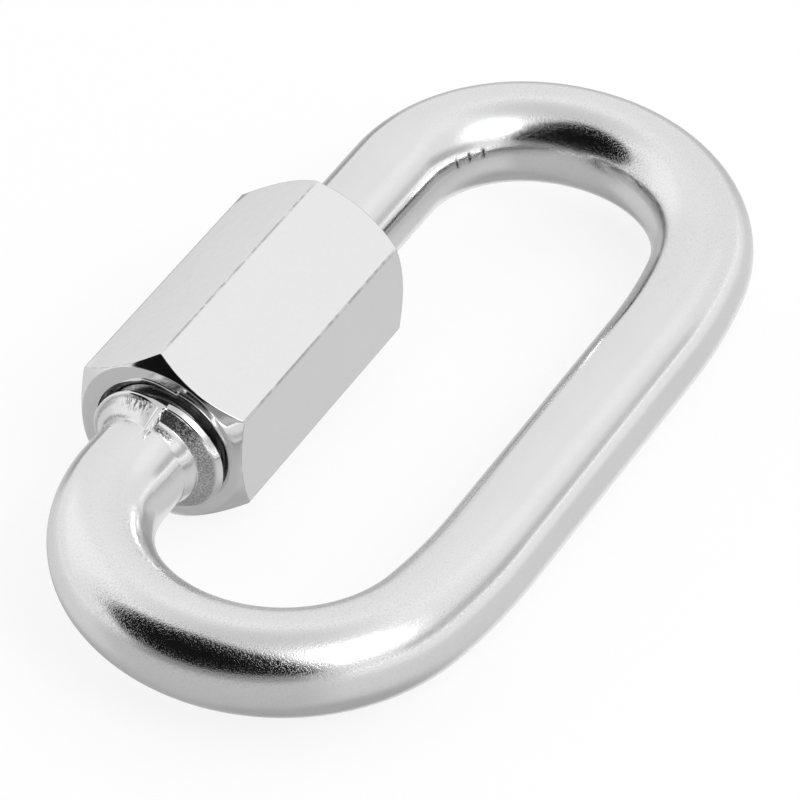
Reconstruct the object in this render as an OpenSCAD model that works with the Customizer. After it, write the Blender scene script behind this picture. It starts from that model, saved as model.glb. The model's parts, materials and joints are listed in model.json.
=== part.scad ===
// Screw-sleeve quick link: a bent steel rod with a gap in one long side,
// closed by a six-sided sleeve nut that screws from one rod end onto the other.
// The link lies as it rests: the spine rod and the sleeve's lower corner touch z = 0.
// +X runs along the sleeve from the stop collar to the bow that the sleeve opens towards.

/* [Rod] */
// Diameter of the bent rod
rod_d = 8; // [7:0.1:9]
// Width over the two long sides of the rod
link_width = 35; // [33:0.1:40]
// Centreline radius of each bow
bow_r = 13.6; // [12.5:0.1:15]
// Centreline radius of the slight bend where the spine runs into a bow
shoulder_r = 48; // [35:1:70]
// Angle turned by that slight bend
shoulder_turn = 10.6; // [6:0.1:14]
// Angle turned by the tighter bend beside the sleeve
gate_turn = 62; // [50:1:75]

/* [Gate] */
// Clear gap between the two rod ends when the sleeve is run back
gate_gap = 9; // [8:0.5:14]
// Shortest length of the stub's thread that the closed sleeve holds
stub_grip = 4.5; // [3:0.5:8]
// Pitch of the thread
thread_pitch = 1.5; // [1:0.25:2]
// Height of the upset ends' pitch line above the plain rod
thread_rise = 0.42; // [0.36:0.02:0.7]
// Running clearance between the ends' pitch line and the sleeve's, all round
thread_play = 0.05; // [0.02:0.01:0.08]
// Depth of the bevel on each rod end
tip_bevel = 0.9; // [0.4:0.1:1.5]
// Length of the cone between the plain rod and the far end's thread
upset_run = 1.2; // [0.6:0.1:2]

/* [Stop collar] */
// Diameter over the pressed collar
collar_d = 10.4; // [9.8:0.1:10.8]
// Radius of the collar's rounded rim
rim_r = 0.4; // [0.25:0.05:0.5]
// Gap between the collar and the closed sleeve's end
collar_stand = 0.4; // [0.3:0.1:1.5]
// Plain rod between the near bow and the collar's foot
collar_foot = 2.9; // [2:0.1:5]
// Fillet where the collar's flank meets the rod
foot_fillet = 0.8; // [0.2:0.1:1.2]
// Radius of the dip that parts the collar's rim into two lobes
lobe_dip = 0.7; // [0.4:0.05:0.9]
// Thickness of the seam fin left by the dies
fin_w = 0.32; // [0.2:0.02:0.6]
// Height of the seam fin above the rod
fin_rise = 0.16; // [0.08:0.02:0.3]
// Length of the seam fin on the plain rod
fin_run = 1.9; // [0.5:0.1:2.5]

/* [Sleeve] */
// Length of the sleeve
sleeve_length = 24.9; // [22:0.1:32]
// Width across the sleeve's flats
sleeve_af = 14; // [13:0.1:16]
// Turn of the sleeve from a corner straight below its axis
sleeve_turn = -3.3; // [-12:0.1:12]
// Diameter of the round end face inside the bevelled corners
face_d = 13.5; // [12:0.1:15]
// Radius of the domed bevel that takes off the corners at each end
dome_r = 14; // [10:0.5:24]
// Diameter of the countersink at each mouth
mouth_d = 11; // [10.9:0.1:11.8]
// How far the closed sleeve reaches past the far end's thread
thread_cover = 3; // [1:0.5:6]
// Gap left between the bore and the bow when the sleeve is run back
bend_gap = 0.26; // [0.1:0.02:0.36]

/* [Hidden] */
$fn = 96;
zinc = [0.80, 0.81, 0.82];
bright_zinc = [0.87, 0.88, 0.89];

rod_r = rod_d / 2;
rod_gap = link_width - rod_d;
spine_y = -rod_gap / 2;
sleeve_y = rod_gap / 2;

// Bow: three arcs that meet tangentially and turn 180 degrees between them.
bow_turn = 180 - shoulder_turn - gate_turn;
gate_r = (rod_gap - shoulder_r * (1 - cos(shoulder_turn))
    - bow_r * (cos(shoulder_turn) + cos(gate_turn))) / (1 - cos(gate_turn));
bow_reach = shoulder_r * sin(shoulder_turn)
    + bow_r * (sin(gate_turn) - sin(shoulder_turn)) - gate_r * sin(gate_turn);

// Thread, taken at its pitch line, and the sleeve's travel in whole turns.
end_r = rod_r + thread_rise;
bore_r = end_r + thread_play;
open_turns = ceil((gate_gap + stub_grip) / thread_pitch - 0.001);
travel = open_turns * thread_pitch;
mouth_r = mouth_d / 2;
mouth_depth = mouth_r - bore_r;

// The open sleeve's mouth rides over the start of the far bow as far as its bore allows.
bend_ease = thread_rise + thread_play - bend_gap;
overrun = mouth_depth + sqrt(bend_ease * (2 * (gate_r - rod_r) - bend_ease));

// Collar, from its foot on the rod to the flank that faces the sleeve.
collar_r = collar_d / 2;
rim_rise = collar_r - rim_r - rod_r;
rim_run = rim_rise + rim_r * sqrt(2);
collar_run = rim_run + rim_r;

// Places along the sleeve's axis, from the middle of the link.
gate_straight = collar_foot + collar_run + collar_stand + sleeve_length + travel - overrun;
bend_x = gate_straight / 2;
foot_x = -bend_x + collar_foot;
flank_x = foot_x + collar_run;
sleeve_x = flank_x + collar_stand;
far_tip_x = sleeve_x + travel;
stub_tip_x = far_tip_x - gate_gap;
far_thread_x = sleeve_x + sleeve_length - thread_cover;
spine_half = bend_x - bow_reach;

// Lie of the link on a flat surface: spine rod and the sleeve's lowest corner both touch it.
corner_r = sleeve_af / 2 / cos(30);
lie_a = rod_gap + corner_r * sin(sleeve_turn);
lie_b = corner_r * cos(sleeve_turn);
lie_tilt = atan2(lie_b, lie_a) - asin(rod_r / norm([lie_a, lie_b]));
lie_z = rod_r + rod_gap / 2 * sin(lie_tilt);
sleeve_reach = corner_r * cos(30 - abs(lie_tilt + sleeve_turn));
lie_y = (rod_r - sleeve_reach) / 2;

slack = 1;
// Every second stretch of the rod is a hair thinner and laps into its neighbours,
// so that tangent stretches join cleanly.
tuck = 0.01;
lap = 0.2;

module lay_down() {
    translate([0, lie_y, lie_z]) rotate([lie_tilt, 0, 0]) children();
}

// Turns a shape made along +Z so that it runs along +X on the sleeve's axis.
module along_sleeve(x) {
    translate([x, sleeve_y, 0]) rotate([0, 90, 0]) children();
}

module bent_rod(centre, radius, from, turn) {
    translate([centre[0], centre[1], 0]) rotate([0, 0, from])
        rotate_extrude(angle = turn) translate([radius, 0]) circle(r = rod_r);
}

module tucked_rod(centre, radius, from, turn) {
    lap_turn = lap / radius * 180 / PI;
    translate([centre[0], centre[1], 0]) rotate([0, 0, from - lap_turn])
        rotate_extrude(angle = turn + 2 * lap_turn) translate([radius, 0]) circle(r = rod_r - tuck);
}

// Centre of an arc of radius r2 that follows tangentially on one of radius r1.
function next_centre(c, r1, r2, heading) = c + (r1 - r2) * [sin(heading), -cos(heading)];

module bow() {
    shoulder_c = [spine_half, spine_y + shoulder_r];
    bow_c = next_centre(shoulder_c, shoulder_r, bow_r, shoulder_turn);
    gate_c = next_centre(bow_c, bow_r, gate_r, 180 - gate_turn);
    tucked_rod(shoulder_c, shoulder_r, -90, shoulder_turn);
    bent_rod(bow_c, bow_r, shoulder_turn - 90, bow_turn);
    tucked_rod(gate_c, gate_r, 90 - gate_turn, gate_turn);
}

module spine() {
    translate([-spine_half, spine_y, 0]) rotate([0, 90, 0]) cylinder(r = rod_r, h = 2 * spine_half);
}

// Far rod end: bevelled tip, upset thread, cone down to the plain rod.
module far_end() {
    thread_l = far_thread_x - far_tip_x;
    rod_l = bend_x - far_tip_x;
    along_sleeve(far_tip_x) rotate_extrude()
        polygon([
            [0, 0], [end_r - tip_bevel, 0], [end_r, tip_bevel], [end_r, thread_l],
            [rod_r, thread_l + upset_run], [rod_r, rod_l], [0, rod_l]
        ]);
}

// Half section of the near rod end, from the bow to the stub's tip. The collar's foot is at 0.
module near_section() {
    stub_l = stub_tip_x - foot_x;
    rim = [collar_r - rim_r, rim_run];
    tangent = rim + rim_r * sqrt(1 / 2) * [1, -1];
    fillet_leg = foot_fillet * tan(22.5);
    fillet_end = [rod_r, 0] + fillet_leg * sqrt(1 / 2) * [1, 1];
    polygon([
        [0, -collar_foot], [rod_r, -collar_foot], [rod_r, 0], tangent, rim, rim + [0, rim_r],
        [end_r, collar_run], [end_r, stub_l - tip_bevel], [end_r - tip_bevel, stub_l], [0, stub_l]
    ]);
    translate(rim) circle(r = rim_r);
    difference() {
        polygon([[rod_r - slack, -fillet_leg], [rod_r, -fillet_leg], fillet_end, [rod_r - slack, fillet_leg]]);
        translate([rod_r + foot_fillet, -fillet_leg]) circle(r = foot_fillet);
    }
}

// Seam fin: runs along the rod, up the collar's flank and into the dip between its lobes.
module seam_fin() {
    root = rod_r - slack;
    fin_top = collar_r - lobe_dip / 2 + fin_rise;
    flank_lead = fin_rise * (sqrt(2) - 1);
    translate([0, fin_w / 2, 0]) rotate([90, 0, 0]) linear_extrude(fin_w)
        polygon([
            [-fin_run, root], [-fin_run, rod_r], [fin_rise - fin_run, rod_r + fin_rise],
            [-flank_lead, rod_r + fin_rise], [fin_top - rod_r - fin_rise - flank_lead, fin_top],
            [rim_run, fin_top], [collar_run - rim_r / 2, rod_r], [collar_run - rim_r / 2, root]
        ]);
}

// Near rod end: plain rod, pressed collar of two lobes with the dies' seam between them, stub.
module near_end() {
    difference() {
        along_sleeve(foot_x) rotate_extrude() near_section();
        for (side = [-1, 1])
            translate([foot_x + rim_rise / 2, sleeve_y, side * (collar_r + lobe_dip / 2)])
                rotate([0, 90, 0]) cylinder(r = lobe_dip, h = collar_run);
    }
    for (side = [0, 1])
        translate([foot_x, sleeve_y, 0]) mirror([0, 0, side]) seam_fin();
}

module link_body() {
    color(zinc) lay_down() {
        spine();
        for (side = [0, 1]) mirror([side, 0, 0]) bow();
        far_end();
        near_end();
    }
}

// What the domed bevel at one end takes off the six corners.
module corner_waste() {
    dome_z = sqrt(dome_r * dome_r - face_d * face_d / 4);
    rotate_extrude() difference() {
        translate([0, -slack]) square([corner_r + slack, dome_z + slack]);
        translate([0, dome_z]) circle(r = dome_r);
    }
}

module mouth() {
    translate([0, 0, -slack]) cylinder(r1 = mouth_r + slack, r2 = bore_r, h = mouth_depth + slack);
}

module screw_sleeve() {
    color(bright_zinc) lay_down() along_sleeve(sleeve_x) difference() {
        rotate([0, 0, sleeve_turn]) cylinder(r = corner_r, h = sleeve_length, $fn = 6);
        translate([0, 0, -slack]) cylinder(r = bore_r, h = sleeve_length + 2 * slack);
        for (end = [0, 1])
            translate([0, 0, end * sleeve_length]) mirror([0, 0, end]) {
                corner_waste();
                mouth();
            }
    }
}

link_body();
screw_sleeve();
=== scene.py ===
# Screw-sleeve quick link in bright zinc plate: the rod link, its sleeve nut and a small studio.
# Shapes are worked out in millimetres in the link's own plane, then laid down and turned into metres.
import json
import math

import bpy
import numpy as np
from mathutils import Matrix, Vector

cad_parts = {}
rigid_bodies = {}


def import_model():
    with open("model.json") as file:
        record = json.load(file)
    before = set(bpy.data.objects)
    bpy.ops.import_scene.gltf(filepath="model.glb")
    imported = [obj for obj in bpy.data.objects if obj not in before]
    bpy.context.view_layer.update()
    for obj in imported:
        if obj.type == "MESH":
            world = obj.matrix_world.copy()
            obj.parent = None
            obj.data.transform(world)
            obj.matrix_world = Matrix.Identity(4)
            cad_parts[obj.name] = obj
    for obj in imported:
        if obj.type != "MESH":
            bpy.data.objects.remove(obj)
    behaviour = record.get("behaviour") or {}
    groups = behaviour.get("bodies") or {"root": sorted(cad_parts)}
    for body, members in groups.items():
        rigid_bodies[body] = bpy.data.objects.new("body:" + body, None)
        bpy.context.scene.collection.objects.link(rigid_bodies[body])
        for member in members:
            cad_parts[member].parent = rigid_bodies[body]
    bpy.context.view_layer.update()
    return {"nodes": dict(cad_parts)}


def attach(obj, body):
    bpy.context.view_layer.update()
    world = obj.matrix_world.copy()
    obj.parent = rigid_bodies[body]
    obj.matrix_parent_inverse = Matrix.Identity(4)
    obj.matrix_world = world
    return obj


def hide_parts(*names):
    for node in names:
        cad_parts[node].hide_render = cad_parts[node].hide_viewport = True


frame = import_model()
print("frame loaded:", sorted(frame["nodes"]))

mm = 0.001

# How the link lies: its plane leans about X, on the spine rod and the sleeve's lowest corner
lie = dict(tilt=8.62274, y=-1.67236, z=6.02402)


def layDown(points):
    c, s = math.cos(math.radians(lie["tilt"])), math.sin(math.radians(lie["tilt"]))
    x, y, z = points[..., 0], points[..., 1], points[..., 2]
    return np.stack([x, y * c - z * s + lie["y"], y * s + z * c + lie["z"]], -1) * mm


# Mesh helpers

# Skins a stack of closed rings, given as an array of rings by sides by xyz, in metres
def gridMesh(name, rings, across, along, tipStart=None, tipEnd=None, loop=False, sharp=40):
    nRings, nSides = rings.shape[:2]
    verts = rings.reshape(-1, 3)
    index = np.arange(nRings * nSides).reshape(nRings, nSides)
    nxt = np.roll(index, -1, 1)
    low, high = (index, np.roll(index, -1, 0)) if loop else (index[:-1], index[1:])
    lowN, highN = (nxt, np.roll(nxt, -1, 0)) if loop else (nxt[:-1], nxt[1:])
    quads = np.stack([low, lowN, highN, high], -1).reshape(-1, 4)
    u = np.append(across, across[0] + 1)
    v = np.append(along, along[-1] + 1) if loop else along
    rows = len(v) - 1
    uv = np.zeros((rows, nSides, 4, 2))
    uv[:, :, 0, 0] = uv[:, :, 3, 0] = u[None, :-1]
    uv[:, :, 1, 0] = uv[:, :, 2, 0] = u[None, 1:]
    uv[:, :, 0, 1] = uv[:, :, 1, 1] = v[:-1, None]
    uv[:, :, 2, 1] = uv[:, :, 3, 1] = v[1:, None]
    faces = [tuple(q) for q in quads.tolist()]
    loopUv = [uv.reshape(-1, 2)]
    for tip, ring, flip in ((tipStart, index[0], True), (tipEnd, index[-1], False)):
        if tip is None:
            continue
        verts = np.vstack([verts, tip])
        hub = len(verts) - 1
        for i in range(nSides):
            a, b = int(ring[i]), int(ring[(i + 1) % nSides])
            faces.append((hub, b, a) if flip else (hub, a, b))
        loopUv.append(np.full((nSides * 3, 2), 0.5))
    mesh = bpy.data.meshes.new(name)
    mesh.from_pydata(verts.tolist(), [], faces)
    layer = mesh.uv_layers.new(name="skin")
    layer.data.foreach_set("uv", np.vstack(loopUv).astype(np.float32).ravel())
    mesh.polygons.foreach_set("use_smooth", [True] * len(mesh.polygons))
    mesh.set_sharp_from_angle(angle=math.radians(sharp))
    mesh.validate()
    obj = bpy.data.objects.new(name, mesh)
    bpy.context.scene.collection.objects.link(obj)
    return obj


# Keeps a value for each point of a mesh, which its material reads
def addMask(obj, name, values):
    layer = obj.data.attributes.new(name, "FLOAT", "POINT")
    layer.data.foreach_set("value", values.astype(np.float32).ravel())


# Smooth step from 0 to 1
def soften(value):
    t = np.clip(value, 0, 1)
    return t * t * (3 - 2 * t)


# Samples from stop to stop, each stretch with its own step
def spacing(stops):
    out = [stops[0][0]]
    for (a, step), (b, _) in zip(stops, stops[1:]):
        n = max(1, math.ceil(abs(b - a) / step - 1e-6))
        out += list(a + (b - a) * np.arange(1, n + 1) / n)
    return np.array(out)


# Thread shared by the rod ends and the sleeve: same pitch and phase, so they mesh at both ends of the travel
thread = dict(
    pitch=1.5,       # right-handed
    crestR=4.9,
    rootR=4.12,
    boreMinorR=4.3,
    play=0.06,
    flankWidth=0.46,
    crestFlat=0.2,
    phase=0.37,
    stubRise=1.1,    # how steeply the crests rise where the thread runs out
    farRise=0.75,
    rootDelay=0.5,   # how much later than the crests the roots are cut
    dryRun=0.9,      # start of the far end's slope, which holds no oil
)


# 0 on a crest and 1 in a root, for a place along the sleeve's axis and round it
def threadDepth(x, angle):
    turn = (x / thread["pitch"] - angle / (2 * math.pi) + thread["phase"]) % 1.0
    off = np.abs(turn - 0.5) * thread["pitch"]
    return soften((off - thread["crestFlat"] / 2) / thread["flankWidth"])


def rodThread(x, angle):
    return thread["crestR"] - (thread["crestR"] - thread["rootR"]) * threadDepth(x, angle)


# Bent rod

rod = dict(
    radius=4.0,
    sideY=13.5,            # the two long sides' centrelines from the middle
    spineHalf=12.6629,
    shoulder=(48.0, 10.6),  # radius and turn of each of the bow's three arcs
    bow=(13.6, 107.4),
    gate=(12.1165, 62.0),
    bendX=20.3007,
    stubTipX=-10.735,
    farTipX=-1.735,
    farThreadX=6.665,
    tipR=3.55,
    upsetRun=1.2,          # slope from the rod up to the far end's thread
    tipCap=(1.6, 3.2, 3.5),  # radii of the rings on both flat tips
    tipGap=0.02,
    threadStep=0.075,      # distance between rings on the threads
)

# Three small dents that the bending tool left on the far bow's inner side, measured back from the far tip
dents = dict(
    count=3,
    at=26.04,
    apart=1.8,
    angle=159.0,
    width=0.21,
    reach=0.36,
    depth=0.045,
    # how strongly the dents' hollows are painted dark: painted shade
    paintedShade=2.4,
    margin=0.6,            # length on both sides that has close rings
)

# The pressed stop collar: two lobes, parted where the dies met. Its half sections are places along the axis
# with their radii, from the front face over the rim to the rod: one lobe has a long slope, the other a steep
# flank above a foot
collar = dict(
    frontFace=[
        (-15.30, 4.16), (-15.52, 4.16), (-15.60, 4.20), (-15.627, 4.30), (-15.630, 4.55), (-15.64, 4.80),
    ],
    longSlope=[
        (-15.64, 4.80), (-15.72, 5.05), (-15.90, 5.20), (-16.10, 5.20), (-16.22, 5.13), (-16.36, 4.88),
        (-17.55, 4.27), (-17.84, 4.08), (-17.97, 4.0), (-20.0, 4.0),
    ],
    # the long slope next to the seam, where it has no rim
    seamSlope=[
        (-15.64, 4.80), (-15.72, 5.05), (-15.90, 5.18), (-16.06, 5.12), (-17.55, 4.27), (-17.84, 4.08),
        (-17.97, 4.0), (-20.0, 4.0),
    ],
    steepFlank=[
        (-15.64, 4.80), (-15.68, 5.10), (-15.80, 5.22), (-16.24, 5.08), (-16.36, 4.96), (-16.93, 4.27),
        (-17.02, 4.215), (-17.38, 4.18), (-18.22, 4.0), (-20.0, 4.0),
    ],
    fillet=0.14,
    rimX=-16.15,
    rimR=5.2,              # rim of the half sections; the next two scale it, by degrees off the seam
    longRim=[(0, 4.80), (6, 4.85), (12, 4.94), (20, 5.07), (32, 5.28), (76, 5.30), (90, 5.42)],
    steepRim=[
        (0, 4.80), (1.6, 4.82), (3.3, 5.06), (15, 5.24), (34, 5.42), (50, 5.58), (64, 5.80), (90, 5.84),
    ],
    rimSoft=0.3,           # run over which the rim's effects come in
    slopeRun=(1.12, 0.42),  # stretch of the long slope beside the seam and at the lobe's middle
    seamAngle=100.0,       # where the dies met, from the outer side towards the top
    seamBlend=(7, 14),     # degrees off the seam where the long slope's rim starts, and its run
    steepFrom=2.4,         # how far past the seam the steep lobe begins
    steepSharp=24,         # how sharply one lobe gives way to the other
    seamR=4.3,             # radius for the widths of the fin and the groove
    finAngle=102.6,
    finHeight=0.16,
    finHalf=0.16,
    finEndX=-19.15,
    finFade=0.35,
    grooveAngle=97.0,
    grooveDepth=0.04,
    grooveHalf=0.13,
    grooveEndX=-19.75,
    grooveFade=0.8,
    footX=-17.1,           # rings are less close from here to the end
    faceStep=0.09,
    flankStep=0.04,
    footStep=0.055,
    endX=-18.7,
    beyondX=-21.0,         # nothing of the collar is past this
)


# Centre and heading at length s from the stub's tip, round to the far tip, and where each stretch ends
def rodPath(s):
    straight = rod["bendX"] + rod["stubTipX"]
    arcs = [rod["gate"], rod["bow"], rod["shoulder"]]
    pieces = [(straight, 0.0)]
    pieces += [(r * math.radians(t), 1 / r) for r, t in arcs]
    pieces += [(2 * rod["spineHalf"], 0.0)]
    pieces += [(r * math.radians(t), 1 / r) for r, t in reversed(arcs)]
    pieces += [(rod["bendX"] - rod["farTipX"], 0.0)]
    x, y, heading, start = rod["stubTipX"], rod["sideY"], math.pi, 0.0
    cx, cy, ch = np.zeros_like(s), np.zeros_like(s), np.zeros_like(s)
    bends = [0.0]
    for length, k in pieces:
        on = s >= start - 1e-9
        d = s[on] - start
        if k:
            turned = heading + k * d
            cx[on] = x + (np.sin(turned) - math.sin(heading)) / k
            cy[on] = y - (np.cos(turned) - math.cos(heading)) / k
            ch[on] = turned
            end = heading + k * length
            x += (math.sin(end) - math.sin(heading)) / k
            y -= (math.cos(end) - math.cos(heading)) / k
            heading = end
        else:
            cx[on] = x + math.cos(heading) * d
            cy[on] = y + math.sin(heading) * d
            ch[on] = heading
            x += math.cos(heading) * length
            y += math.sin(heading) * length
        start += length
        bends.append(start)
    return cx, cy, ch, bends


# Angles round the rod, close together at the seams and the dents: stops in degrees, with the step to the next
def rodSides():
    seam, dent = collar["seamAngle"], dents["angle"]
    stops = [
        (seam - 188, 1.1), (seam - 172, 3.4), (seam - 8, 0.65), (seam + 6, 1.6), (seam + 14, 3.2),
        (dent - 9, 1.2), (dent + 9, 3.4), (seam + 172, 1),
    ]
    return np.radians(spacing(stops)[:-1])


# How far an angle is from a seam, which both sides of the rod have
def offSeam(angle, seam):
    return np.abs((np.degrees(angle) - seam + 90) % 180 - 90)


# 1 on the lobe with the steep flank, 0 on the one with the long slope
def steepShare(angle):
    past = angle - math.radians(collar["seamAngle"] + collar["steepFrom"])
    return soften(0.5 + collar["steepSharp"] * np.sin(past))


# Stretch of the collar's long slope, by degrees off the seam
def slopeStretch(off):
    bySeam, atMiddle = collar["slopeRun"]
    return bySeam + (atMiddle - bySeam) * off / 90


# Radius along one of the collar's half sections, with its corners filleted
def filleted(line, x):
    step = 0.01
    fine = np.arange(-19.5, -14.5, step)      # the collar and a little on both sides
    knots = np.array(sorted(line))
    window = np.hanning(int(collar["fillet"] / step) + 2)
    sharp = np.interp(fine, knots[:, 0], knots[:, 1])
    return np.interp(x, fine, np.convolve(sharp, window / window.sum(), "same"))


# Height of a thin ridge that runs along the rod at one angle, 1 on its flat top
def ridge(angle, place, half):
    flatTop = 0.3
    across = np.radians(offSeam(angle, place)) * collar["seamR"]
    return 1 - soften(across / half - flatTop)


# What a ring has in place of a radius, where the stretch it is on shapes it later
marks = dict(stub=-1, collar=-2, far=-3)


# Rings along the rod: length from the stub's tip, with the radius or the mark
def rodRings(bends):
    tipX, total = rod["stubTipX"], bends[-1]
    front = collar["frontFace"]
    gap, threadStep = rod["tipGap"], rod["threadStep"]
    rings = [(0.0, r) for r in rod["tipCap"]]
    rings += [(s, marks["stub"]) for s in spacing([(gap, threadStep), (tipX - front[0][0], 1)])]
    for (x0, r0), (x1, r1) in zip(front, front[1:]):
        n = max(1, math.ceil(math.hypot(x1 - x0, r1 - r0) / collar["faceStep"]))
        rings += [(tipX - (x0 + (x1 - x0) * i / n), r0 + (r1 - r0) * i / n) for i in range(1, n + 1)]
    slopes = spacing([
        (front[-1][0], collar["flankStep"]), (collar["footX"], collar["footStep"]), (collar["endX"], 1),
    ])[1:]
    rings += [(tipX - x, marks["collar"]) for x in slopes]
    firstDent = total - dents["at"] - dents["apart"] * (dents["count"] - 1) - dents["margin"]
    lastDent = total - dents["at"] + dents["margin"]
    # places on the plain rod, with the step to the next
    plain = spacing([
        (tipX - collar["endX"], 0.1), (tipX - collar["grooveEndX"] + 0.3, 0.35), (bends[3], 0.35),
        (bends[4], 0.7), (bends[5], 0.5), (bends[6], 0.35), (firstDent, 0.09), (lastDent, 0.4),
        (bends[8], 0.6), (total - farRun() - 0.1, 1),
    ])[1:]
    rings += [(s, rod["radius"]) for s in plain]
    rings += [(s, marks["far"]) for s in spacing([(total - farRun(), threadStep), (total - gap, 1)])]
    return np.array(rings + [(total, r) for r in reversed(rod["tipCap"])])


# Length of the far end's thread with the slope where it is upset
def farRun():
    return rod["farThreadX"] - rod["farTipX"] + rod["upsetRun"]


# Cuts the thread: root and crest both narrow at the bevelled tip and at the run-out
def cutThreads(radius, mark, s, x, angle, total):
    faceX, faceR = collar["frontFace"][0]
    for name, fromTip, runOut, core, rise in (
        ("stub", s, rod["stubTipX"] - faceX - s, faceR, thread["stubRise"]),
        ("far", total - s, s - (total - farRun()), rod["radius"], thread["farRise"]),
    ):
        on = mark == marks[name]
        tip = rod["tipR"] + fromTip[on][:, None]
        out = np.clip(runOut[on], 0, None)[:, None]
        root = core + (thread["rootR"] - core) * soften(out - thread["rootDelay"])
        crest = np.minimum(np.minimum(thread["crestR"], core + out * rise), tip)
        root = np.minimum(root, crest)
        radius[on] = crest - (crest - root) * threadDepth(x[on], angle)


# Presses the collar's two lobes, and the fin and the groove that the dies left along their seam
def pressCollar(radius, mark, x, angle, nearCollar):
    on = mark == marks["collar"]
    steep = steepShare(angle)
    off = offSeam(angle, collar["seamAngle"])
    back = np.minimum(x[on] - collar["rimX"], 0)
    stretched = x[on] - back + back / slopeStretch(off)
    blendFrom, blendRun = collar["seamBlend"]
    bySeam = 1 - soften((off - blendFrom) / blendRun)
    slope = filleted(collar["longSlope"], stretched)
    slope += (filleted(collar["seamSlope"], stretched) - slope) * bySeam
    flank = filleted(collar["steepFlank"], x[on])
    radius[on] = slope * (1 - steep) + flank * steep
    rim = 0
    for name, share in (("longRim", 1 - steep), ("steepRim", steep)):
        rim = rim + np.interp(off, *zip(*collar[name])) * share
    tall = (rim - rod["radius"]) / (collar["rimR"] - rod["radius"])
    front = collar["frontFace"]
    above = np.where(x < front[-1][0], 1, soften((radius - front[0][1]) / collar["rimSoft"]))
    above = above * nearCollar * (x < front[0][0])
    radius += (radius - rod["radius"]) * (tall - 1) * above
    behindRim = nearCollar * soften((collar["rimX"] - x) / collar["rimSoft"])
    fin = collar["finHeight"] * ridge(angle, collar["finAngle"], collar["finHalf"])
    radius += fin * behindRim * soften((x - collar["finEndX"]) / collar["finFade"])
    groove = collar["grooveDepth"] * ridge(angle, collar["grooveAngle"], collar["grooveHalf"])
    radius -= groove * behindRim * soften((x - collar["grooveEndX"]) / collar["grooveFade"])


# Patches of painted shade and rough grain on the collar's skin: their strengths, and the fades that bound
# them.
# A fade is the place where there is nothing and the run to where there is all, along the axis or else round
# it in degrees past the seam
collarSkin = dict(
    steepRound=[(3.6, 1.0), (160, -25)],
    # painted shade: the steep flank is painted dark, standing in for the dark reflection it shows; its grain
    # and roughness are its own
    flankAlong=[(-17.06, 0.1), (-16.30, -0.1)],
    flankRange=(0.55, 0.5),    # least strength, and how much more within the falls
    flankFalls=[(80, -70)],
    seamRange=(1.1, 1.3),      # the same again, as the painted shade on the flank is darkest next to the seam
    seamFalls=[(38, -30)],
    # painted shade on the steep lobe's foot, dulling the highlight that its slope shows
    foot=1.1,
    footAlong=[(-18.1, 0.3), (-17.25, -0.3)],
    footRound=[(32, -12)],
    creaseShade=0.8,                # painted shade where the long slope meets the rod
    creaseAt=1.72,
    creaseHalf=0.2,
    creaseRound=[(-92, 12), (-22, -14)],
    rimShade=0.6,                 # and painted shade behind its rim
    underEnd=0.75,
    underFade=0.2,
    underRim=[(-0.03, -0.08)],
    underRound=[(-125, 20), (-42, -16)],
    brushAlong=[(-17.5, 0.9), (-16.2, -0.12)],
    brushRound=[(-48, 25), (-6, -3)],
)


# Product of fades at a place, as in the patches above
def within(place, fades):
    share = 1
    for start, run in fades:
        share = share * soften((place - start) / run)
    return share


# Where the collar's skin is rough and carries painted shade, and where the long slope's lobe is brushed
# beside the seam
def collarMasks(x, angle, nearCollar):
    skin = collarSkin
    turn = (np.degrees(angle) - collar["seamAngle"] + 180) % 360 - 180
    least, more = skin["flankRange"]
    flank = within(x, skin["flankAlong"]) * (least + more * within(turn, skin["flankFalls"]))
    least, more = skin["seamRange"]
    flank = flank * (least + more * within(turn, skin["seamFalls"]))
    foot = skin["foot"] * within(x, skin["footAlong"]) * within(turn, skin["footRound"])
    rough = (flank + foot) * within(turn, skin["steepRound"])
    fromRim, stretch = x - collar["rimX"], slopeStretch(-turn)
    creaseShade = soften(1 - np.abs(fromRim + skin["creaseAt"] * stretch) / skin["creaseHalf"])
    rough = rough + skin["creaseShade"] * creaseShade * within(turn, skin["creaseRound"])
    rimShade = soften((fromRim + skin["underEnd"] * stretch) / skin["underFade"])
    rimShade = rimShade * within(fromRim, skin["underRim"])
    rough = rough + skin["rimShade"] * rimShade * within(turn, skin["underRound"])
    brushed = within(x, skin["brushAlong"]) * within(turn, skin["brushRound"])
    return rough * nearCollar, brushed * nearCollar


# 1 at the bottom of each dent
def dentShape(s, angle, total):
    across = ((angle - math.radians(dents["angle"]) + math.pi) % (2 * math.pi) - math.pi) * rod["radius"]
    shape = 0
    for k in range(dents["count"]):
        along = (s[:, None] - (total - dents["at"] - k * dents["apart"])) / dents["width"]
        shape = shape + np.exp(-along ** 2 - np.abs(across / dents["reach"]) ** 3)
    return shape


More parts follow.
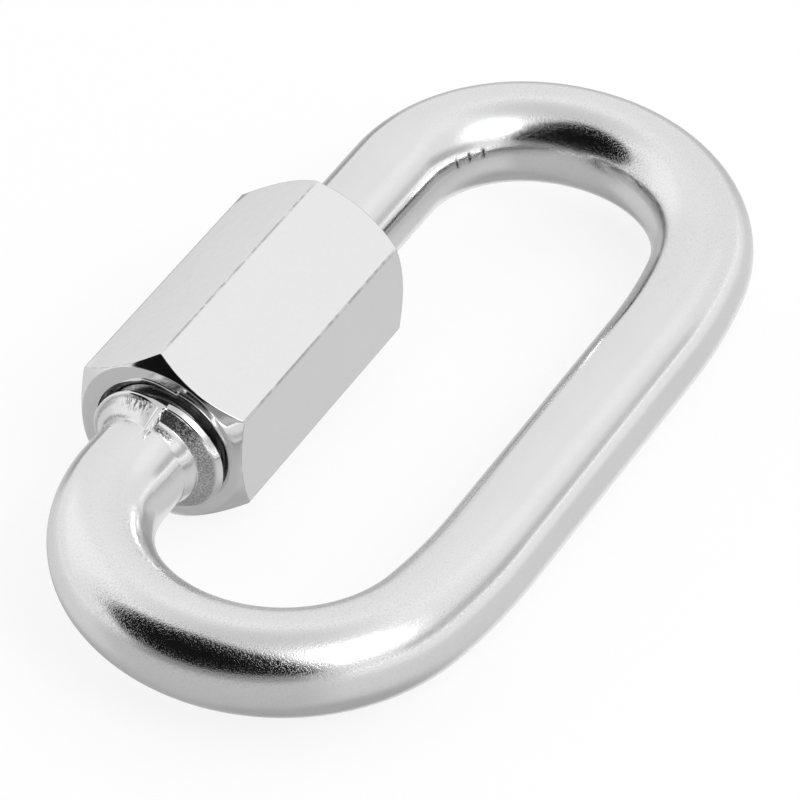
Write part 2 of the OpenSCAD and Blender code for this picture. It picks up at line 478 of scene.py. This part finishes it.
def makeLinkBody():
    sides = rodSides()
    bends = rodPath(np.zeros(1))[3]
    total = bends[-1]
    s, mark = rodRings(bends).T
    cx, cy, heading, _ = rodPath(s)
    angle, x = sides[None, :], cx[:, None]
    radius = np.repeat(mark[:, None], len(sides), 1)
    nearCollar = (s < rod["stubTipX"] - collar["beyondX"])[:, None]
    cutThreads(radius, mark, s, x, angle, total)
    pressCollar(radius, mark, x, angle, nearCollar)
    dented = dentShape(s, angle, total)
    radius -= dents["depth"] * dented

    outward = np.stack([np.sin(heading), -np.cos(heading), np.zeros_like(heading)], -1)
    centre = np.stack([cx, cy, np.zeros_like(cx)], -1)
    up = np.array([0.0, 0.0, 1.0])
    points = centre[:, None] + radius[..., None] * (
        outward[:, None] * np.cos(angle)[..., None] + up * np.sin(angle)[..., None]
    )
    around = ((sides - sides[0]) / (2 * math.pi))[::-1] * (2 * math.pi * rod["radius"])
    tips = [layDown(np.array([p])) for p in (centre[0], centre[-1])]
    body = gridMesh("link_body_skin", layDown(points)[:, ::-1], around, s, *tips)

    # the bows are strained, most of all in their middle arcs
    strain = np.interp(s, bends[1:9], [0, 1, 1, 0, 0, 1, 1, 0])[:, None]
    faceX = collar["frontFace"][4][0]
    threaded = (s < rod["stubTipX"] - faceX) | (s > total - farRun() + thread["dryRun"])
    rough, brushed = collarMasks(x, angle, nearCollar)
    # painted shade in the dents' hollows, through the rough mask
    rough = np.maximum(rough, dents["paintedShade"] * dented)
    whole, tipValues = np.ones((len(s), len(sides))), [0, 0]
    masks = dict(rough=rough, brushed=brushed, strained=strain, threaded=threaded[:, None])
    for name, values in masks.items():
        addMask(body, name, np.append((values * whole)[:, ::-1], tipValues))
    return body


linkBody = makeLinkBody()
print("link body:", len(linkBody.data.polygons), "faces")

# Sleeve nut

sleeve = dict(
    startX=-15.235,
    length=24.9,
    acrossFlats=14.0,
    firstCorner=26.7,   # angle of a corner from the outer side towards the top
    edgeR=0.32,
    faceR=6.79,
    faceOff=(0.12, 27.0),  # the bevel was turned a little off centre
    bevelSlope=37.0,
    mouthR=5.6,
    mouthEdge=0.015,
    bevelBlend=0.06,
    faceRings=(6.1, 6.4),
    faceEdge=(0.08, 0.02, 0.03),  # how near rings are to the face's outer edge: two before it, one past it
    flatRows=13,
    lipRows=3,             # rows of each mouth's edge that the painted shade reaches
    boreGap=0.03,
    boreStep=0.11,
    mapRound=44,           # about what it measures round, for the skin's map
    edgeShadeFade=(0.95, -0.45),  # fade of the painted shade along the long edges, in degrees off the corner
    bevelShade=0.9,
)


# How far an angle is from the nearest of the sleeve's corners
def offCorner(angle):
    return (angle - math.radians(sleeve["firstCorner"]) + math.pi / 6) % (math.pi / 3) - math.pi / 6


# Distance from the axis to the hexagon's side, with its long edges rounded
def hexRadius(angle):
    off = offCorner(angle)
    flat = sleeve["acrossFlats"] / 2 / np.cos(math.pi / 6 - np.abs(off))
    edge = sleeve["edgeR"]
    hub = (sleeve["acrossFlats"] / 2 - edge) / math.cos(math.pi / 6)
    reach = math.atan2(edge * 0.5, hub + edge * math.cos(math.pi / 6))
    roundR = hub * np.cos(off) + np.sqrt(np.maximum(edge ** 2 - (hub * np.sin(off)) ** 2, 0))
    return np.where(np.abs(off) < reach, roundR, flat)


# Angles round the sleeve, close together at its long edges: stops in degrees, with the step to the next
def sleeveSides():
    stops = []
    for k in range(6):
        corner = sleeve["firstCorner"] + 60 * k
        stops += [(corner - 1.1, 0.22), (corner + 1.1, 0.5), (corner + 2.2, 3.6), (corner + 57.8, 0.55)]
    stops.append((sleeve["firstCorner"] + 360 - 1.1, 1))
    return np.radians(spacing(stops)[:-1])


def makeSleeve():
    sides = sleeveSides()
    n = len(sides)
    wall = hexRadius(sides)
    mouth, cut, length = (sleeve[key] for key in ("mouthR", "bevelBlend", "length"))
    face = sleeve["faceR"] + sleeve["faceOff"][0] * np.cos(sides - math.radians(sleeve["faceOff"][1]))
    fall = math.tan(math.radians(sleeve["bevelSlope"]))
    depth = (wall - face) * fall      # where the bevel meets each side
    blends = (0.2, 0.4, 0.6, 0.8, 1.0)

    # one end, from the mouth out to the side: pairs of depth and radius for every angle
    def endRings():
        edge = sleeve["mouthEdge"]
        rings = []
        for t in np.linspace(0, 1, 4):
            a = math.pi / 4 * (1 + t)
            d, r = edge - edge * math.sin(a), mouth + edge - edge * math.cos(a)
            rings.append((np.full(n, d), np.full(n, r)))
        before, closer, past = sleeve["faceEdge"]
        for r in (*sleeve["faceRings"], face - before, face - closer):
            rings.append((np.zeros(n), r + np.zeros(n)))
        first, last = face + past, wall - cut * 0.75
        for t in np.linspace(0, 1, 5):
            r = first + (last - first) * t
            rings.append(((r - face) * fall, r))
        d0, r0 = rings[-1]
        for t in blends:
            start, middle, end = (1 - t) ** 2, 2 * t * (1 - t), t ** 2
            d = start * d0 + middle * depth + end * (depth + cut)
            rings.append((d, start * r0 + (middle + end) * wall))
        return rings

    near = endRings()
    rows, radii = [d for d, _ in near], [r for _, r in near]
    for t in np.linspace(0, 1, sleeve["flatRows"] + 2)[1:-1]:
        rows.append(depth + cut + (length - 2 * (depth + cut)) * t)
        radii.append(wall)
    rows += [length - d for d, _ in reversed(near)]
    radii += [r for _, r in reversed(near)]
    # the bore, back from the far mouth to the near one
    bore = spacing([(length - sleeve["boreGap"], sleeve["boreStep"]), (sleeve["boreGap"], 1)])
    x = sleeve["startX"] + bore[:, None]
    boreWall = np.maximum(thread["boreMinorR"], rodThread(x, sides[None, :]) + thread["play"])
    inward = np.minimum(bore, length - bore)[:, None]
    boreWall = np.maximum(boreWall, mouth - inward)
    rows += [np.full(n, b) for b in bore]
    radii += list(boreWall)

    x = sleeve["startX"] + np.array(rows)
    r = np.array(radii)
    y = rod["sideY"] + r * np.cos(sides)
    z = r * np.sin(sides)
    points = layDown(np.stack([x, y, z], -1))
    step = np.linalg.norm(np.diff(points.mean(1), axis=0), axis=1) / mm
    along = np.append(0, np.cumsum(np.maximum(step, 0.05)))
    around = (sides - sides[0]) / (2 * math.pi) * sleeve["mapRound"]
    nut = gridMesh("screw_sleeve_skin", points, around, along, loop=True, sharp=42)
    weights = nut.modifiers.new("flat shading", "WEIGHTED_NORMAL")
    weights.mode = "FACE_AREA"
    weights.keep_sharp = True

    lip = sleeve["lipRows"]
    inside = np.zeros((len(rows), n))
    # painted shade on the mouths' lips and through the bore, together with the threads' oil
    inside[:lip] = 1
    inside[-len(bore) - lip:] = 1
    # painted shade along the rounded long edges, and over the bevels' blend
    edgeShade = np.zeros_like(inside)
    first, last = len(near), len(near) + sleeve["flatRows"]
    edgeShade[first:last] = within(np.abs(np.degrees(offCorner(sides))), [sleeve["edgeShadeFade"]])
    edgeShade[first - len(blends):first - 1] = sleeve["bevelShade"]
    edgeShade[last + 1:last + len(blends)] = sleeve["bevelShade"]
    addMask(nut, "threaded", inside)
    addMask(nut, "edgeShade", edgeShade)
    return nut


screwSleeve = makeSleeve()
print("screw sleeve:", len(screwSleeve.data.polygons), "faces")


# Materials

def addNode(tree, kind, place=(0, 0), **inputs):
    node = tree.nodes.new(kind)
    node.location = place
    for key, value in inputs.items():
        name = key.replace("_", " ")
        if name in node.inputs:
            node.inputs[name].default_value = value
        else:
            setattr(node, key, value)
    return node


socketKinds = {float: "NodeSocketFloat", tuple: "NodeSocketColor", Vector: "NodeSocketVector"}


# Node group with named sockets: the group, what it is given, and what it gives
def addGroup(name, inputs, outputs):
    group = bpy.data.node_groups.new(name, "ShaderNodeTree")
    for title, value in inputs.items():
        kind = socketKinds[type(value)]
        group.interface.new_socket(name=title, in_out="INPUT", socket_type=kind).default_value = value
    for title, kind in outputs.items():
        group.interface.new_socket(name=title, in_out="OUTPUT", socket_type=kind)
    given = addNode(group, "NodeGroupInput", (-1400, 0)).outputs
    out = addNode(group, "NodeGroupOutput", (1200, 0)).inputs
    return group, given, out


def grey(tone):
    return (tone, tone, tone, 1)


# Mask that the mesh keeps under a name
def readMask(tree, name, place):
    return addNode(tree, "ShaderNodeAttribute", place, attribute_name=name).outputs["Fac"]


# One math node, whose inputs are numbers or other nodes' sockets
def compute(tree, kind, *values, place=(0, 0)):
    node = addNode(tree, "ShaderNodeMath", place, operation=kind)
    for socket, value in zip(node.inputs, values):
        if isinstance(value, (int, float)):
            socket.default_value = value
        else:
            tree.links.new(value, socket)
    return node.outputs[0]


# A soft step of a value between two limits
def between(tree, value, low, high, toLow=0.0, toHigh=1.0, place=(0, 0)):
    node = addNode(tree, "ShaderNodeMapRange", place, interpolation_type="SMOOTHSTEP")
    for name, number in (("From Min", low), ("From Max", high), ("To Min", toLow), ("To Max", toHigh)):
        node.inputs[name].default_value = number
    tree.links.new(value, node.inputs["Value"])
    return node.outputs[0]


def noise(tree, vector, scale, detail, roughness, place=(0, 0)):
    node = addNode(tree, "ShaderNodeTexNoise", place, Detail=detail, Roughness=roughness)
    tree.links.new(vector, node.inputs["Vector"])
    if isinstance(scale, (int, float)):
        node.inputs["Scale"].default_value = scale
    else:
        tree.links.new(scale, node.inputs["Scale"])
    return node.outputs["Fac"]


def mixColour(tree, share, first, second, place=(0, 0)):
    node = addNode(tree, "ShaderNodeMix", place, data_type="RGBA")
    for socket, value in ((node.inputs["Factor"], share), (node.inputs[6], first), (node.inputs[7], second)):
        if isinstance(value, (float, tuple)):
            socket.default_value = value
        else:
            tree.links.new(value, socket)
    return node.outputs[2]


plate = dict(
    cloudScale=180.0,          # of noise, per metre
    grainScale=9000.0,
    pitStep=(0.34, 0.50),      # noise at a pit's bottom and at its brim
    plainShare=0.8,            # about the share of skin without pits, so that speckle keeps the mean tone
    strainedDepth=0.28,        # what strain adds to the pits and to the speckle
    strainedSpeckle=0.05,
)


# Skin of bright zinc plate: faint orange peel, fine pits and a cloudy tone. Sizes are in millimetres
def plateGroup():
    group, given, out = addGroup(
        "platedSkin",
        {"Peel Size": 0.5, "Peel Depth": 0.5, "Pit Size": 0.2, "Pit Depth": 0.5, "Cloud": 0.03,
         "Base Tone": 0.87, "Speckle": 0.05, "Base Roughness": 0.12, "Roughness Swing": 0.04,
         "Strained": 0.0},
        {"Color": "NodeSocketColor", "Roughness": "NodeSocketFloat", "Height": "NodeSocketFloat"},
    )
    where = addNode(group, "ShaderNodeTexCoord", (-1400, -300)).outputs["Object"]

    def scaleOf(title, y):
        return compute(group, "DIVIDE", 1000.0, given[title], place=(-1150, y))

    peel = noise(group, where, scaleOf("Peel Size", 300), 2.0, 0.5, (-900, 300))
    pits = noise(group, where, scaleOf("Pit Size", 0), 3.0, 0.6, (-900, 0))
    cloud = noise(group, where, plate["cloudScale"], 2.0, 0.5, (-900, -300))
    grain = noise(group, where, plate["grainScale"], 2.0, 0.6, (-900, -600))
    strained = given["Strained"]
    pitted = between(group, pits, *plate["pitStep"], place=(-600, 0))
    depth = compute(group, "MULTIPLY_ADD", strained, plate["strainedDepth"], given["Pit Depth"],
                    place=(-450, 100))
    peelHeight = compute(group, "MULTIPLY", peel, given["Peel Depth"], place=(-300, 300))
    pitHeight = compute(group, "MULTIPLY", pitted, depth, place=(-300, 100))
    pitHeight = compute(group, "MULTIPLY_ADD", strained, pits, pitHeight, place=(-100, 100))
    group.links.new(compute(group, "ADD", peelHeight, pitHeight, place=(100, 200)), out["Height"])

    swing = compute(group, "SUBTRACT", cloud, 0.5, place=(-300, -300))
    tone = compute(group, "MULTIPLY_ADD", swing, given["Cloud"], given["Base Tone"], place=(0, -250))
    dots = compute(group, "SUBTRACT", pitted, plate["plainShare"], place=(-300, -100))
    speckle = compute(group, "MULTIPLY_ADD", strained, plate["strainedSpeckle"], given["Speckle"],
                      place=(-100, -50))
    shaded = compute(group, "MULTIPLY_ADD", dots, speckle, tone, place=(250, -150))
    colour = addNode(group, "ShaderNodeCombineColor", (500, -150))
    for channel in ("Red", "Green", "Blue"):
        group.links.new(shaded, colour.inputs[channel])
    group.links.new(colour.outputs[0], out["Color"])

    grain = compute(group, "SUBTRACT", grain, 0.5, place=(-300, -600))
    spread = compute(group, "ADD", swing, grain, place=(0, -450))
    rough = compute(group, "MULTIPLY_ADD", spread, given["Roughness Swing"], given["Base Roughness"],
                    place=(250, -450))
    group.links.new(rough, out["Roughness"])
    return group


oilAndShadePatches = dict(scale=1400.0, step=(0.3, 0.6), least=0.6)      # least share of oil and painted shade between the patches


# Threads are duller and darker than the outside: plate is thin on them and they hold dark oil; the bore and
# its mouths' lips are darkened too, as painted shade
def oilAndShadeGroup():
    group, given, out = addGroup(
        "oilAndShadeThread",
        {"Color": grey(0.8), "Roughness": 0.1, "Oil And Shade Tone": grey(0.14), "Oil And Shade Share": 0.6,
         "Oil Roughness": 0.3},
        {"Color": "NodeSocketColor", "Roughness": "NodeSocketFloat"},
    )
    mask = readMask(group, "threaded", (-1100, 300))
    where = addNode(group, "ShaderNodeTexCoord", (-1100, 0)).outputs["Object"]
    patches = noise(group, where, oilAndShadePatches["scale"], 2.0, 0.6, (-850, 0))
    patches = between(group, patches, *oilAndShadePatches["step"], oilAndShadePatches["least"], 1.0, (-600, 0))
    share = compute(group, "MULTIPLY", patches, given["Oil And Shade Share"], place=(-350, 100))
    share = compute(group, "MULTIPLY", mask, share, place=(-100, 200))
    colour = mixColour(group, share, given["Color"], given["Oil And Shade Tone"], (300, 200))
    group.links.new(colour, out["Color"])
    rougher = compute(group, "SUBTRACT", given["Oil Roughness"], given["Roughness"], place=(0, -300))
    rough = compute(group, "MULTIPLY_ADD", share, rougher, given["Roughness"], place=(300, -300))
    group.links.new(rough, out["Roughness"])
    return group


platedSkin = plateGroup()
oilAndShadeThread = oilAndShadeGroup()

rodFinish = dict(
    peelSize=0.36, peelDepth=0.6, pitSize=0.13, pitDepth=0.3, cloud=0.05, speckle=0.025, tone=0.87,
    roughness=0.12, swing=0.07, bumpReach=0.0000042, oilAndShadeShare=0.7,
    strainedPits=1.25,         # deeper pits where the bows were bent
    shadeTone=0.10,            # painted shade that the rough mask mixes in: the collar's steep flank, which the press left rough, its crease, foot and rim, and the dents
    flankRoughness=0.26,
    flankGrain=9.0,
    grainScale=7000.0,
    grainStep=(0.42, 0.60),    # noise where the grain is darkest and where it is lightest
    grainLeast=0.30,
    brushTone=0.14,            # short strokes beside the seam on the other lobe
    brushDepth=5.0,
    strokeScale=(7.0, 1.6, 1.0),
    strokeStep=(0.46, 0.60),
)
sleeveFinish = dict(
    peelSize=0.9, peelDepth=0.6, pitSize=0.3, pitDepth=0.02, cloud=0.02, speckle=0.012, tone=0.875,
    roughness=0.09, swing=0.03, bumpReach=0.0000030, oilAndShadeShare=0.8,
    edgeShadeTone=0.56,             # painted shade: the long edges and the bevels are painted duller and darker
    edgeShadeScale=1500.0,
    edgeShadeStep=(0.30, 0.60),
)

# The skin's sockets and the values of a finish that they take
skinSockets = {
    "Peel Size": "peelSize",
    "Peel Depth": "peelDepth",
    "Pit Size": "pitSize",
    "Pit Depth": "pitDepth",
    "Cloud": "cloud",
    "Speckle": "speckle",
    "Base Tone": "tone",
    "Base Roughness": "roughness",
    "Roughness Swing": "swing",
}


# Plated metal that the two materials begin with, and its nodes
def metal(name, finish):
    material = bpy.data.materials.new(name)
    material.use_nodes = True
    tree = material.node_tree
    tree.nodes.clear()
    out = addNode(tree, "ShaderNodeOutputMaterial", (1300, 0))
    shader = addNode(tree, "ShaderNodeBsdfPrincipled", (1000, 0), Metallic=1.0)
    skin = addNode(tree, "ShaderNodeGroup", (-600, 0), node_tree=platedSkin)
    oilAndShade = addNode(tree, "ShaderNodeGroup", (-300, 100), node_tree=oilAndShadeThread)
    for socket, key in skinSockets.items():
        skin.inputs[socket].default_value = finish[key]
    oilAndShade.inputs["Oil And Shade Share"].default_value = finish["oilAndShadeShare"]
    bump = addNode(tree, "ShaderNodeBump", (750, -250), Distance=finish["bumpReach"])
    link = tree.links.new
    link(skin.outputs["Color"], oilAndShade.inputs["Color"])
    link(skin.outputs["Roughness"], oilAndShade.inputs["Roughness"])
    link(oilAndShade.outputs["Color"], shader.inputs["Base Color"])
    link(oilAndShade.outputs["Roughness"], shader.inputs["Roughness"])
    link(skin.outputs["Height"], bump.inputs["Height"])
    link(bump.outputs["Normal"], shader.inputs["Normal"])
    link(shader.outputs["BSDF"], out.inputs["Surface"])
    return material, skin, oilAndShade, bump, shader


def rodMaterial():
    material, skin, oilAndShade, bump, shader = metal("brightZincRod", rodFinish)
    tree = material.node_tree
    link = tree.links.new
    place = addNode(tree, "ShaderNodeTexCoord", (-900, -500)).outputs["Object"]
    rough = readMask(tree, "rough", (-900, -700))
    brushed = readMask(tree, "brushed", (-900, -900))
    strained = readMask(tree, "strained", (-900, 200))
    strained = compute(tree, "MULTIPLY", strained, rodFinish["strainedPits"], place=(-750, 200))
    link(strained, skin.inputs["Strained"])
    # painted shade where the rough mask is, broken up by a dark coarse grain
    grain = noise(tree, place, rodFinish["grainScale"], 3.0, 0.7, (-650, -500))
    shade = between(tree, grain, *rodFinish["grainStep"], 1.0, rodFinish["grainLeast"], (-400, -450))
    shade = compute(tree, "MULTIPLY", rough, shade, place=(-200, -450))
    # short strokes across the brushed side
    skinMap = addNode(tree, "ShaderNodeUVMap", (-900, -300), uv_map="skin")
    stretch = addNode(tree, "ShaderNodeMapping", (-750, -300), Scale=rodFinish["strokeScale"])
    link(skinMap.outputs[0], stretch.inputs["Vector"])
    strokes = noise(tree, stretch.outputs[0], 1.0, 3.0, 0.65, (-500, -250))
    strokes = between(tree, strokes, *rodFinish["strokeStep"], place=(-300, -200))
    strokes = compute(tree, "MULTIPLY", brushed, strokes, place=(-100, -200))
    # painted shade: the rough mask darkens the colour towards the shade tone
    colour = mixColour(tree, shade, oilAndShade.outputs["Color"], grey(rodFinish["shadeTone"]), (200, 200))
    colour = mixColour(tree, strokes, colour, grey(rodFinish["brushTone"]), (400, 200))
    link(colour, shader.inputs["Base Color"])
    rougher = compute(tree, "MULTIPLY_ADD", rough, rodFinish["flankRoughness"], oilAndShade.outputs["Roughness"],
                      place=(200, 0))
    link(rougher, shader.inputs["Roughness"])
    height = compute(tree, "MULTIPLY", rough, grain, place=(0, -600))
    height = compute(tree, "MULTIPLY_ADD", height, rodFinish["flankGrain"], skin.outputs["Height"],
                     place=(250, -500))
    height = compute(tree, "MULTIPLY_ADD", strokes, -rodFinish["brushDepth"], height, place=(450, -400))
    link(height, bump.inputs["Height"])
    return material


def sleeveMaterial():
    material, _, oilAndShade, _, shader = metal("brightZincSleeve", sleeveFinish)
    tree = material.node_tree
    place = addNode(tree, "ShaderNodeTexCoord", (-900, -500)).outputs["Object"]
    # painted shade in patches along the sleeve's long edges and bevels
    patches = noise(tree, place, sleeveFinish["edgeShadeScale"], 3.0, 0.6, (-650, -500))
    patches = between(tree, patches, *sleeveFinish["edgeShadeStep"], place=(-400, -450))
    share = compute(tree, "MULTIPLY", readMask(tree, "edgeShade", (-900, -700)), patches, place=(-200, -450))
    colour = mixColour(tree, share, oilAndShade.outputs["Color"], grey(sleeveFinish["edgeShadeTone"]), (300, 200))
    tree.links.new(colour, shader.inputs["Base Color"])
    return material


linkBody.data.materials.append(rodMaterial())
screwSleeve.data.materials.append(sleeveMaterial())
print("materials made")

for piece, body, node, slot in (
    (linkBody, "link", "link_body", "plated_rod"),
    (screwSleeve, "sleeve", "screw_sleeve", "plated_sleeve"),
):
    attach(piece, body)
    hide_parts(node)

# Studio

studio = dict(
    floorHalf=3.0,
    paperTone=0.8,
    shadowShare=0.22,      # how much of the floor's white is lit, so that it keeps the object's shadow
    whiteGlow=1.06,
    floorGhost=0.6,        # share of the backdrop that reflections see through the paper
    wallWhite=0.15,        # share of plain white in the walls as reflections see them
    lampAway=1.2,
    lampAzimuth=-107.0,
    lampElevation=41.0,
    lampSize=(0.5, 0.4),
    lampRadiance=4.0,
)


def direction(azimuth, elevation):
    a, e = math.radians(azimuth), math.radians(elevation)
    return Vector((math.cos(a) * math.cos(e), math.sin(a) * math.cos(e), math.sin(e)))


# The camera's rays, and a share of the rays that gloss and glass send out
def rayShares(tree, share, x, y):
    ray = addNode(tree, "ShaderNodeLightPath", (x, y)).outputs
    both = compute(tree, "MAXIMUM", ray["Is Glossy Ray"], ray["Is Transmission Ray"], place=(x + 200, y))
    return ray["Is Camera Ray"], compute(tree, "MULTIPLY", both, share, place=(x + 400, y))


def makeFloor():
    half = studio["floorHalf"]
    mesh = bpy.data.meshes.new("studioFloor")
    corners = [(-half, -half, 0), (half, -half, 0), (half, half, 0), (-half, half, 0)]
    mesh.from_pydata(corners, [], [(0, 1, 2, 3)])
    floor = bpy.data.objects.new("studioFloor", mesh)
    bpy.context.scene.collection.objects.link(floor)
    material = bpy.data.materials.new("studioPaper")
    material.use_nodes = True
    tree = material.node_tree
    tree.nodes.clear()
    link = tree.links.new
    out = addNode(tree, "ShaderNodeOutputMaterial", (700, 0))
    paper = addNode(tree, "ShaderNodeBsdfDiffuse", (-400, -200), Color=grey(studio["paperTone"]))
    clear = addNode(tree, "ShaderNodeBsdfTransparent", (-400, -350))
    lit = addNode(tree, "ShaderNodeBsdfDiffuse", (-400, 0), Color=grey(1))
    glow = addNode(tree, "ShaderNodeEmission", (-400, 120), Strength=studio["whiteGlow"])
    seen, mirrored = rayShares(tree, studio["floorGhost"], -800, 300)

    def blend(share, first, second, place):
        node = addNode(tree, "ShaderNodeMixShader", place)
        if isinstance(share, float):
            node.inputs[0].default_value = share
        else:
            link(share, node.inputs[0])
        link(first.outputs[0], node.inputs[1])
        link(second.outputs[0], node.inputs[2])
        return node

    reflected = blend(mirrored, paper, clear, (-100, -250))
    white = blend(studio["shadowShare"], glow, lit, (-100, 60))
    link(blend(seen, reflected, white, (300, 0)).outputs[0], out.inputs["Surface"])
    mesh.materials.append(material)


def makeLamp():
    light = bpy.data.lights.new("windowLamp", "AREA")
    light.shape = "RECTANGLE"
    light.size, light.size_y = studio["lampSize"]
    light.energy = studio["lampRadiance"] * math.pi * light.size * light.size_y
    lamp = bpy.data.objects.new("windowLamp", light)
    bpy.context.scene.collection.objects.link(lamp)
    toLamp = direction(studio["lampAzimuth"], studio["lampElevation"])
    lamp.location = toLamp * studio["lampAway"]
    lamp.rotation_mode = "QUATERNION"
    lamp.rotation_quaternion = toLamp.to_track_quat("Z", "Y")
    lamp.visible_camera = False


# Soft half of the sky on one side of a great circle
def edgeGroup():
    group, given, out = addGroup(
        "panelEdge", {"Softness": 0.1, "Direction": Vector(), "Edge": Vector()}, {"Mask": "NodeSocketFloat"},
    )
    dot = addNode(group, "ShaderNodeVectorMath", (-300, 0), operation="DOT_PRODUCT")
    group.links.new(given["Direction"], dot.inputs[0])
    group.links.new(given["Edge"], dot.inputs[1])
    ratio = compute(group, "DIVIDE", dot.outputs["Value"], given["Softness"], place=(-100, 0))
    group.links.new(between(group, ratio, -1.0, 1.0, place=(200, 0)), out["Mask"])
    return group


# Tones of the tent by elevation, then its panels: the spans of azimuth and elevation that each covers, or its
# corners, with its tone and the softness of its edges, all in degrees. A span's four edges are its west, top,
# east and bottom. Below the horizon is the backdrop that reflections see through the paper
tent = dict(
    tones=[
        (-90, 0.34), (-72, 0.22), (-61, 0.48), (-52, 0.68), (-14, 0.69), (-3, 0.84), (3, 0.83), (12, 0.79),
        (25, 0.80), (45, 0.82), (60, 0.90), (70, 0.71), (80, 0.59), (90, 0.58),
    ],
    panels=[
        dict(name="back wall foot", azimuths=(-2, 62), elevations=(-21, -3), tone=0.52, soft=5),
        dict(name="skirting", azimuths=(42, 62), elevations=(-13, 0), tone=0.2, soft=(3, 1.2, 5, 3)),
        dict(name="far shade", azimuths=(52, 128), elevations=(-66, -34), tone=0.44, soft=8),
        dict(name="far paper", azimuths=(-4, 45), elevations=(-62, -33), tone=1.08, soft=8),
        dict(name="bright sill", azimuths=(-124, -12), elevations=(-8.5, 3), tone=1.04, soft=(6, 2, 6, 5)),
        dict(name="dull band", azimuths=(-94, -46), elevations=(4.3, 17), tone=0.47, soft=(6, 6, 6, 1.1)),
        dict(name="camera side paper", azimuths=(124, 226), elevations=(-58, 3), tone=0.47, soft=10),
        dict(name="side wall", azimuths=(64, 103), elevations=(16, 56), tone=0.96, soft=8),
        dict(name="side glow", azimuths=(-46, -24), elevations=(28, 60), tone=0.93, soft=8),
        dict(name="window", azimuths=(-127, -83), elevations=(22, 58), tone=1.5, soft=9),
        dict(name="window jamb", azimuths=(-147, -124), elevations=(-7, 34), tone=0.58, soft=5),
        dict(name="low wall", azimuths=(143, 223), elevations=(-2, 14), tone=0.27, soft=(10, 4, 5, 5)),
        dict(
            name="camera opening", tone=0.006, soft=(3, 3, 3, 3, 4, 4, 3, 3),
            corners=[
                (139, 14), (125, 30), (123, 54), (160, 74), (203, 65), (226, 38), (229, 12.5), (174, 10),
            ],
        ),
    ],
)


# 1 inside a panel: each of its edges cuts the sky along a great circle
def panelMask(tree, panel, edge, sight, column):
    corners = panel.get("corners")
    if not corners:
        (west, east), (low, high) = panel["azimuths"], panel["elevations"]
        corners = [(west, low), (west, high), (east, high), (east, low)]
    soft = panel["soft"] if isinstance(panel["soft"], tuple) else (panel["soft"],) * len(corners)
    corners = [direction(*corner) for corner in corners]
    middle = sum(corners, Vector())
    mask = None
    for i, corner in enumerate(corners):
        normal = corner.cross(corners[(i + 1) % len(corners)]).normalized()
        if normal.dot(middle) < 0:
            normal.negate()
        side = addNode(tree, "ShaderNodeGroup", (220 * column, -300 - 160 * i), node_tree=edge)
        side.inputs["Edge"].default_value = normal
        side.inputs["Softness"].default_value = math.radians(soft[i])
        tree.links.new(sight, side.inputs["Direction"])
        inner = side.outputs["Mask"]
        mask = compute(tree, "MULTIPLY", mask, inner, place=(220 * column, -250)) if mask else inner
    return mask


def makeWorld():
    world = bpy.data.worlds.new("studioTent")
    bpy.context.scene.world = world
    world.use_nodes = True
    tree = world.node_tree
    tree.nodes.clear()
    link = tree.links.new
    edge = edgeGroup()
    out = addNode(tree, "ShaderNodeOutputWorld", (2800, 0))
    sight = addNode(tree, "ShaderNodeVectorMath", (-1400, 0), operation="NORMALIZE")
    link(addNode(tree, "ShaderNodeTexCoord", (-1600, 0)).outputs["Generated"], sight.inputs[0])
    sight = sight.outputs[0]
    parts = addNode(tree, "ShaderNodeSeparateXYZ", (-1200, 200))
    link(sight, parts.inputs[0])
    height = compute(tree, "ARCSINE", parts.outputs["Z"], place=(-1000, 200))
    ramp = addNode(tree, "ShaderNodeValToRGB", (-600, 200))
    stops = ramp.color_ramp.elements
    while len(stops) < len(tent["tones"]):
        stops.new(0.5)
    for stop, (elevation, tone) in zip(stops, tent["tones"]):
        stop.position = (elevation + 90) / 180
        stop.color = grey(tone)
    link(compute(tree, "MULTIPLY_ADD", height, 1 / math.pi, 0.5, place=(-800, 200)), ramp.inputs[0])
    seen, mirrored = rayShares(tree, studio["wallWhite"], -900, 500)
    colour = mixColour(tree, mirrored, ramp.outputs[0], grey(1), (-300, 300))
    for k, panel in enumerate(tent["panels"]):
        mask = panelMask(tree, panel, edge, sight, k)
        colour = mixColour(tree, mask, colour, grey(panel["tone"]), (220 * k, 200))
    tentLight = addNode(tree, "ShaderNodeBackground", (2300, 0))
    link(colour, tentLight.inputs["Color"])
    white = addNode(tree, "ShaderNodeBackground", (2300, 200), Color=grey(1))
    pick = addNode(tree, "ShaderNodeMixShader", (2550, 0))
    link(seen, pick.inputs[0])
    link(tentLight.outputs[0], pick.inputs[1])
    link(white.outputs[0], pick.inputs[2])
    link(pick.outputs[0], out.inputs["Surface"])


makeFloor()
makeLamp()
makeWorld()
print("studio lit")

# Camera at the photograph's angle

view = dict(
    position=(-0.288237, -0.199616, 0.277827),
    right=(0.49298, -0.863019, -0.110316),
    down=(-0.580429, -0.231772, -0.780631),
    forward=(0.64813, 0.448866, -0.61518),
    lens=262.30,
)
cameraData = bpy.data.cameras.new("photoCamera")
cameraData.lens = view["lens"]
cameraData.sensor_width = 36.0
cameraData.clip_start, cameraData.clip_end = 0.01, 20.0
camera = bpy.data.objects.new("photoCamera", cameraData)
bpy.context.scene.collection.objects.link(camera)
axes = Matrix((Vector(view["right"]), -Vector(view["down"]), -Vector(view["forward"]))).transposed()
camera.matrix_world = Matrix.Translation(view["position"]) @ axes.to_4x4()
bpy.context.scene.camera = camera
bpy.context.scene.view_settings.view_transform = "Standard"
